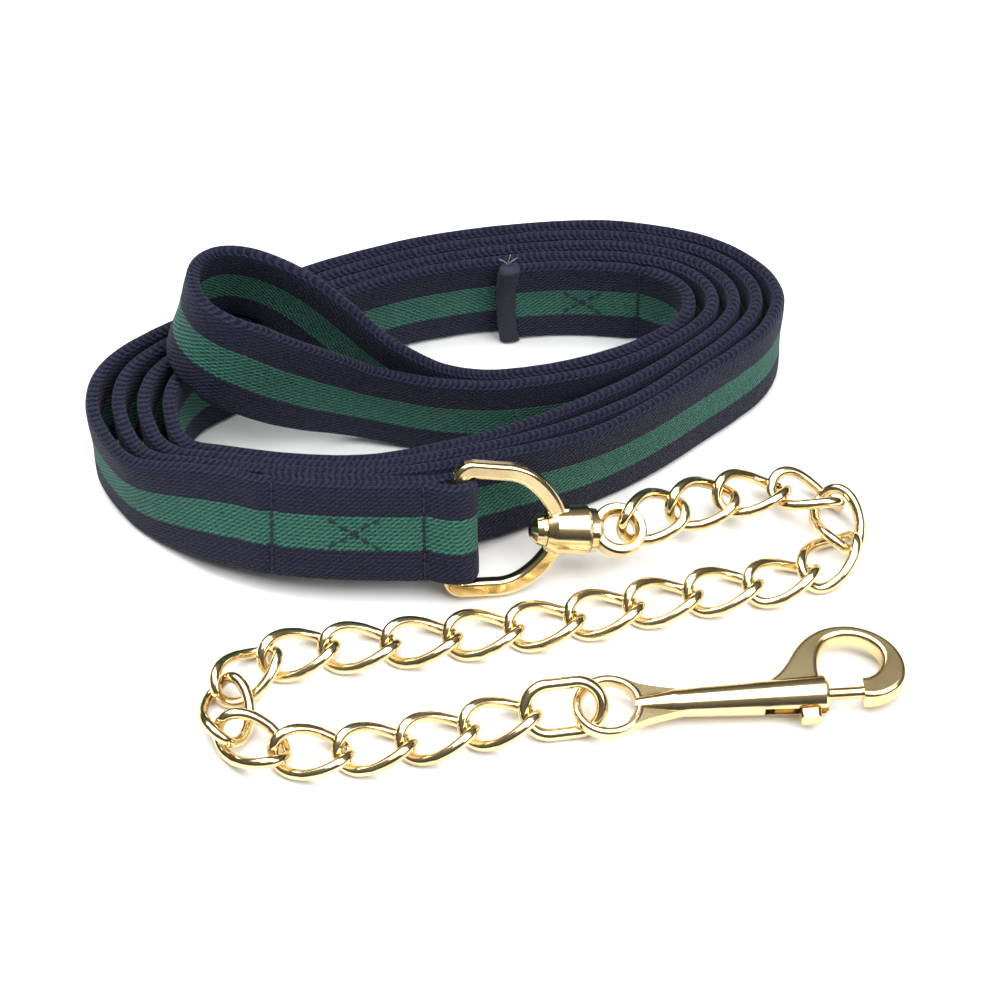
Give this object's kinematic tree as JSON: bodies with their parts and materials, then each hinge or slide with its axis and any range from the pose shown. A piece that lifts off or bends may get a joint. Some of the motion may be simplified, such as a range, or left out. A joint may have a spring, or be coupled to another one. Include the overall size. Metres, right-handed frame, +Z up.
{
  "type": "lead rope with chain and trigger snap",
  "caption": "Striped web lead coiled on its edge, with a hand loop, a loop swivel, a curb chain and a trigger snap.",
  "frame": {"origin": "centre of the plan outline, on the surface the lead lies on", "axes": "+Z up; +X from the hand loop's side towards the snap's hook; +Y away from the chain, towards the coil"},
  "size_m": [0.2249, 0.1815, 0.0544],
  "materials": {
    "web": "woven, satin, navy with a green stripe along the middle",
    "cast_brass": "cast and polished",
    "chain_brass": "polished plated wire",
    "spring_wire": "drawn wire"
  },
  "bodies": {
    "web": {"web_coil": "web", "web_chain_end": "web", "hand_loop": "web"},
    "swivel_d": {"swivel_d": "cast_brass"},
    "swivel_eye": {"swivel_eye": "cast_brass"},
    "chain_link_01": {"chain_link_01": "chain_brass"},
    "chain_link_02": {"chain_link_02": "chain_brass"},
    "chain_link_03": {"chain_link_03": "chain_brass"},
    "chain_link_04": {"chain_link_04": "chain_brass"},
    "chain_link_05": {"chain_link_05": "chain_brass"},
    "chain_link_06": {"chain_link_06": "chain_brass"},
    "chain_link_07": {"chain_link_07": "chain_brass"},
    "chain_link_08": {"chain_link_08": "chain_brass"},
    "chain_link_09": {"chain_link_09": "chain_brass"},
    "chain_link_10": {"chain_link_10": "chain_brass"},
    "chain_link_11": {"chain_link_11": "chain_brass"},
    "chain_link_12": {"chain_link_12": "chain_brass"},
    "chain_link_13": {"chain_link_13": "chain_brass"},
    "chain_link_14": {"chain_link_14": "chain_brass"},
    "chain_link_15": {"chain_link_15": "chain_brass"},
    "chain_link_16": {"chain_link_16": "chain_brass"},
    "chain_link_17": {"chain_link_17": "chain_brass"},
    "chain_link_18": {"chain_link_18": "chain_brass"},
    "chain_link_19": {"chain_link_19": "chain_brass"},
    "chain_link_20": {"chain_link_20": "chain_brass"},
    "chain_link_21": {"chain_link_21": "chain_brass"},
    "chain_link_22": {"chain_link_22": "chain_brass"},
    "end_ring": {"end_ring": "chain_brass"},
    "snap": {"snap_body": "cast_brass", "bolt_spring": "spring_wire"},
    "bolt": {"snap_bolt": "cast_brass", "thumb_knob": "cast_brass"}
  },
  "joints": [
    {"name": "d_on_web", "type": "hinge", "parent": "web", "child": "swivel_d", "pos_m": [-0.0095, -0.02, 0.0208], "axis": [0.0951, 0.4356, 0.8951], "range_deg": [-12, 1]},
    {"name": "swivel_turn", "type": "hinge", "parent": "swivel_d", "child": "swivel_eye", "pos_m": [0.0209, -0.01648, 0.01586], "axis": [0.9807, 0.1136, -0.1594], "range_deg": [-60, 25]},
    {"name": "link_01", "type": "hinge", "parent": "swivel_eye", "child": "chain_link_01", "pos_m": [0.04148, -0.0141, 0.01251], "axis": [-0.5236, 0.852, 0], "range_deg": [-10, 10]},
    {"name": "link_02", "type": "hinge", "parent": "chain_link_01", "child": "chain_link_02", "pos_m": [0.0522, -0.0052, 0.011], "axis": [0.4571, -0.8894, 0], "range_deg": [-10, 10]},
    {"name": "link_03", "type": "hinge", "parent": "chain_link_02", "child": "chain_link_03", "pos_m": [0.06665, 0.001, 0.00865], "axis": [-0.326, 0.9454, 0], "range_deg": [-10, 10]},
    {"name": "link_04", "type": "hinge", "parent": "chain_link_03", "child": "chain_link_04", "pos_m": [0.0818, 0.00375, 0.00715], "axis": [0.0316, -0.9995, 0], "range_deg": [-10, 7]},
    {"name": "link_05", "type": "hinge", "parent": "chain_link_04", "child": "chain_link_05", "pos_m": [0.0939, -0.0003, 0.0058], "axis": [0.7154, 0.6987, 0], "range_deg": [-6, 10]},
    {"name": "link_06", "type": "hinge", "parent": "chain_link_05", "child": "chain_link_06", "pos_m": [0.0963, -0.01105, 0.00465], "axis": [-0.9632, 0.2688, 0], "range_deg": [-10, 10]},
    {"name": "link_07", "type": "hinge", "parent": "chain_link_06", "child": "chain_link_07", "pos_m": [0.08765, -0.0212, 0.00435], "axis": [0.4752, -0.8799, 0], "range_deg": [-10, 10]},
    {"name": "link_08", "type": "hinge", "parent": "chain_link_07", "child": "chain_link_08", "pos_m": [0.0726, -0.02665, 0.0044], "axis": [-0.2087, 0.978, 0], "range_deg": [-8, 10]},
    {"name": "link_09", "type": "hinge", "parent": "chain_link_08", "child": "chain_link_09", "pos_m": [0.05605, -0.03025, 0.00425], "axis": [0.2163, -0.9763, 0], "range_deg": [-10, 10]},
    {"name": "link_10", "type": "hinge", "parent": "chain_link_09", "child": "chain_link_10", "pos_m": [0.0395, -0.03415, 0.0042], "axis": [-0.2425, 0.9701, 0], "range_deg": [-10, 10]},
    {"name": "link_11", "type": "hinge", "parent": "chain_link_10", "child": "chain_link_11", "pos_m": [0.02305, -0.0382, 0.0042], "axis": [0.2356, -0.9719, 0], "range_deg": [-10, 10]},
    {"name": "link_12", "type": "hinge", "parent": "chain_link_11", "child": "chain_link_12", "pos_m": [0.0064, -0.04175, 0.0042], "axis": [-0.1815, 0.9834, 0], "range_deg": [-10, 10]},
    {"name": "link_13", "type": "hinge", "parent": "chain_link_12", "child": "chain_link_13", "pos_m": [-0.01045, -0.0446, 0.0042], "axis": [0.1521, -0.9884, 0], "range_deg": [-10, 10]},
    {"name": "link_14", "type": "hinge", "parent": "chain_link_13", "child": "chain_link_14", "pos_m": [-0.02735, -0.04685, 0.0042], "axis": [-0.1117, 0.9937, 0], "range_deg": [-10, 10]},
    {"name": "link_15", "type": "hinge", "parent": "chain_link_14", "child": "chain_link_15", "pos_m": [-0.04405, -0.04895, 0.0044], "axis": [0.1381, -0.9904, 0], "range_deg": [-10, 10]},
    {"name": "link_16", "type": "hinge", "parent": "chain_link_15", "child": "chain_link_16", "pos_m": [-0.05925, -0.05335, 0.0045], "axis": [-0.4236, 0.9058, 0], "range_deg": [-10, 10]},
    {"name": "link_17", "type": "hinge", "parent": "chain_link_16", "child": "chain_link_17", "pos_m": [-0.0685, -0.063, 0.0047], "axis": [0.9411, -0.3382, 0], "range_deg": [-10, 10]},
    {"name": "link_18", "type": "hinge", "parent": "chain_link_17", "child": "chain_link_18", "pos_m": [-0.0671, -0.0746, 0.0052], "axis": [-0.8148, -0.5798, 0], "range_deg": [-10, 10]},
    {"name": "link_19", "type": "hinge", "parent": "chain_link_18", "child": "chain_link_19", "pos_m": [-0.0554, -0.0812, 0.00505], "axis": [0.1724, 0.985, 0], "range_deg": [-9, 10]},
    {"name": "link_20", "type": "hinge", "parent": "chain_link_19", "child": "chain_link_20", "pos_m": [-0.039, -0.08165, 0.00445], "axis": [0.1124, -0.9937, 0], "range_deg": [-10, 10]},
    {"name": "link_21", "type": "hinge", "parent": "chain_link_20", "child": "chain_link_21", "pos_m": [-0.0223, -0.07895, 0.00435], "axis": [-0.2063, 0.9785, 0], "range_deg": [-10, 10]},
    {"name": "link_22", "type": "hinge", "parent": "chain_link_21", "child": "chain_link_22", "pos_m": [-0.0057, -0.0752, 0.00495], "axis": [0.2343, -0.9722, 0], "range_deg": [-10, 10]},
    {"name": "ring_on_chain", "type": "hinge", "parent": "chain_link_22", "child": "end_ring", "pos_m": [0.011, -0.07155, 0.006], "axis": [-0.1927, 0.9812, 0], "range_deg": [-10, 10]},
    {"name": "snap_turn", "type": "hinge", "parent": "end_ring", "child": "snap", "pos_m": [0.02322, -0.06958, 0.0059], "axis": [-0.0698, 0.9976, 0], "range_deg": [-15, 1]},
    {"name": "bolt_slide", "type": "slide", "parent": "snap", "child": "bolt", "axis": [-0.9976, -0.0698, 0], "range_m": [0, 0.0095], "stiffness_N_per_m": 120, "springref_m": -0.004, "deforming": ["bolt_spring"]}
  ]
}
